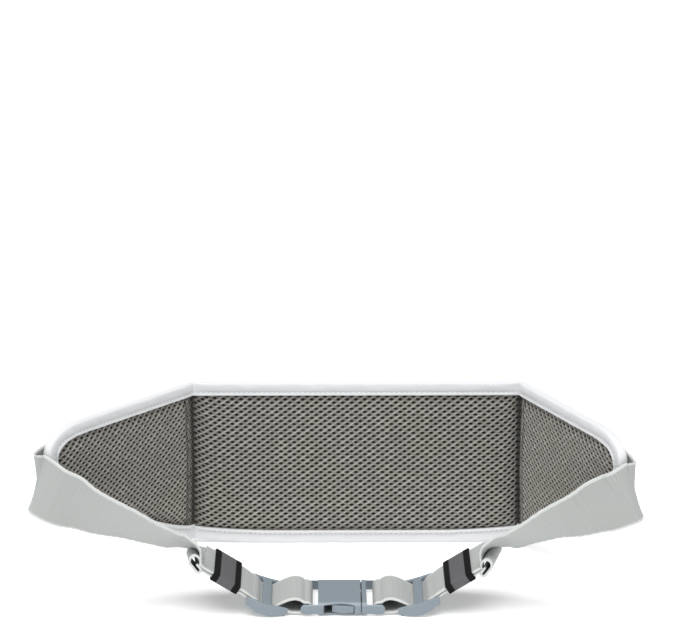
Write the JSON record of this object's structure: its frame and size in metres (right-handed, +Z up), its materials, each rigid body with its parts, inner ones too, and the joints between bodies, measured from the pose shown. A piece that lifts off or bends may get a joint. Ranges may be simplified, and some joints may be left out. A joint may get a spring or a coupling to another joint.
{
  "type": "money belt",
  "caption": "Running waist pack: white zipped pockets over grey spacer mesh, adjustable grey webbing and a side-release buckle, closed into a loop.",
  "frame": {"origin": "On the floor, at the middle of the flat worn on the pack's lower edge, below the wearer's face of the centre panel.", "axes": "+X along the centre panel towards the belt's right end, +Y from the pack towards the buckle, +Z up."},
  "size_m": [0.3801, 0.1494, 0.1131],
  "materials": {
    "shell_fabric": "matt",
    "spacer_mesh": "matt",
    "zip_tape": "matt",
    "dark_trim": "matt",
    "zip_pull": "satin",
    "black_rubber": "matt",
    "webbing": "matt",
    "elastic": "matt",
    "buckle_plastic": "satin"
  },
  "bodies": {
    "belt": {"centre_mesh": "spacer_mesh", "left_mesh": "spacer_mesh", "right_mesh": "spacer_mesh", "centre_lining": "shell_fabric", "left_lining": "shell_fabric", "right_lining": "shell_fabric", "centre_pocket": "shell_fabric", "left_pocket": "shell_fabric", "right_pocket": "shell_fabric", "centre_binding": "shell_fabric", "left_binding": "shell_fabric", "right_binding": "shell_fabric", "left_seam_strip": "shell_fabric", "right_seam_strip": "shell_fabric", "left_zip_tape": "zip_tape", "right_zip_tape": "zip_tape", "centre_zip_upper_tape": "zip_tape", "centre_zip_lower_tape": "zip_tape", "left_zip_trim": "dark_trim", "right_zip_trim": "dark_trim", "centre_zip_trim": "dark_trim", "earphone_port": "black_rubber", "left_strap": "webbing", "right_strap": "webbing", "left_slide_adjuster": "buckle_plastic", "right_slide_adjuster": "buckle_plastic", "buckle_socket": "buckle_plastic", "buckle_plug": "buckle_plastic"},
    "left_zip_slider": {"left_zip_slider": "zip_pull"},
    "right_zip_slider": {"right_zip_slider": "zip_pull"},
    "centre_zip_slider": {"centre_zip_slider": "zip_pull"},
    "left_zip_puller": {"left_zip_puller": "zip_pull"},
    "right_zip_puller": {"right_zip_puller": "zip_pull"},
    "centre_zip_puller": {"centre_zip_puller": "zip_pull"},
    "left_keeper": {"left_keeper": "elastic"},
    "right_keeper": {"right_keeper": "elastic"},
    "inner_latch_arm": {"inner_latch_arm": "buckle_plastic"},
    "outer_latch_arm": {"outer_latch_arm": "buckle_plastic"}
  },
  "joints": [
    {"name": "centre_zip_slide", "type": "slide", "parent": "belt", "child": "centre_zip_slider", "axis": [1, 0, 0], "range_m": [0, 0.1922]},
    {"name": "left_zip_slide", "type": "slide", "parent": "belt", "child": "left_zip_slider", "axis": [-0.3827, 0.923, 0.0403], "range_m": [0, 0.0946]},
    {"name": "right_zip_slide", "type": "slide", "parent": "belt", "child": "right_zip_slider", "axis": [-0.5948, -0.8031, -0.0351], "range_m": [0, 0.0946]},
    {"name": "centre_puller_swing", "type": "hinge", "parent": "centre_zip_slider", "child": "centre_zip_puller", "pos_m": [-0.09635, -0.01368, 0.09408], "axis": [-0.9781, 0, 0.2079], "range_deg": [-1.5, 150]},
    {"name": "left_puller_swing", "type": "hinge", "parent": "left_zip_slider", "child": "left_zip_puller", "pos_m": [-0.11782, 0.00066, 0.09471], "axis": [-0.3775, 0.9106, -0.1683], "range_deg": [-1.5, 150]},
    {"name": "right_puller_swing", "type": "hinge", "parent": "right_zip_slider", "child": "right_zip_puller", "pos_m": [0.17492, 0.07355, 0.09789], "axis": [-0.5948, -0.8031, -0.0351], "range_deg": [-1.5, 150]},
    {"name": "outer_arm_squeeze", "type": "hinge", "parent": "belt", "child": "outer_latch_arm", "pos_m": [-0.0029, 0.127, 0.0044], "axis": [0, 0, -1], "range_deg": [0, 10], "stiffness_Nm_per_rad": 0.1},
    {"name": "inner_arm_squeeze", "type": "hinge", "parent": "belt", "child": "inner_latch_arm", "pos_m": [-0.0029, 0.089, 0.0044], "axis": [0, 0, 1], "range_deg": [0, 10], "stiffness_Nm_per_rad": 0.1},
    {"name": "right_keeper_slide", "type": "slide", "parent": "belt", "child": "right_keeper", "axis": [0.848, 0, 0.5299], "range_m": [-0.001, 0.002]},
    {"name": "left_keeper_slide", "type": "slide", "parent": "belt", "child": "left_keeper", "axis": [-0.848, 0, 0.5299], "range_m": [-0.001, 0.002]}
  ]
}
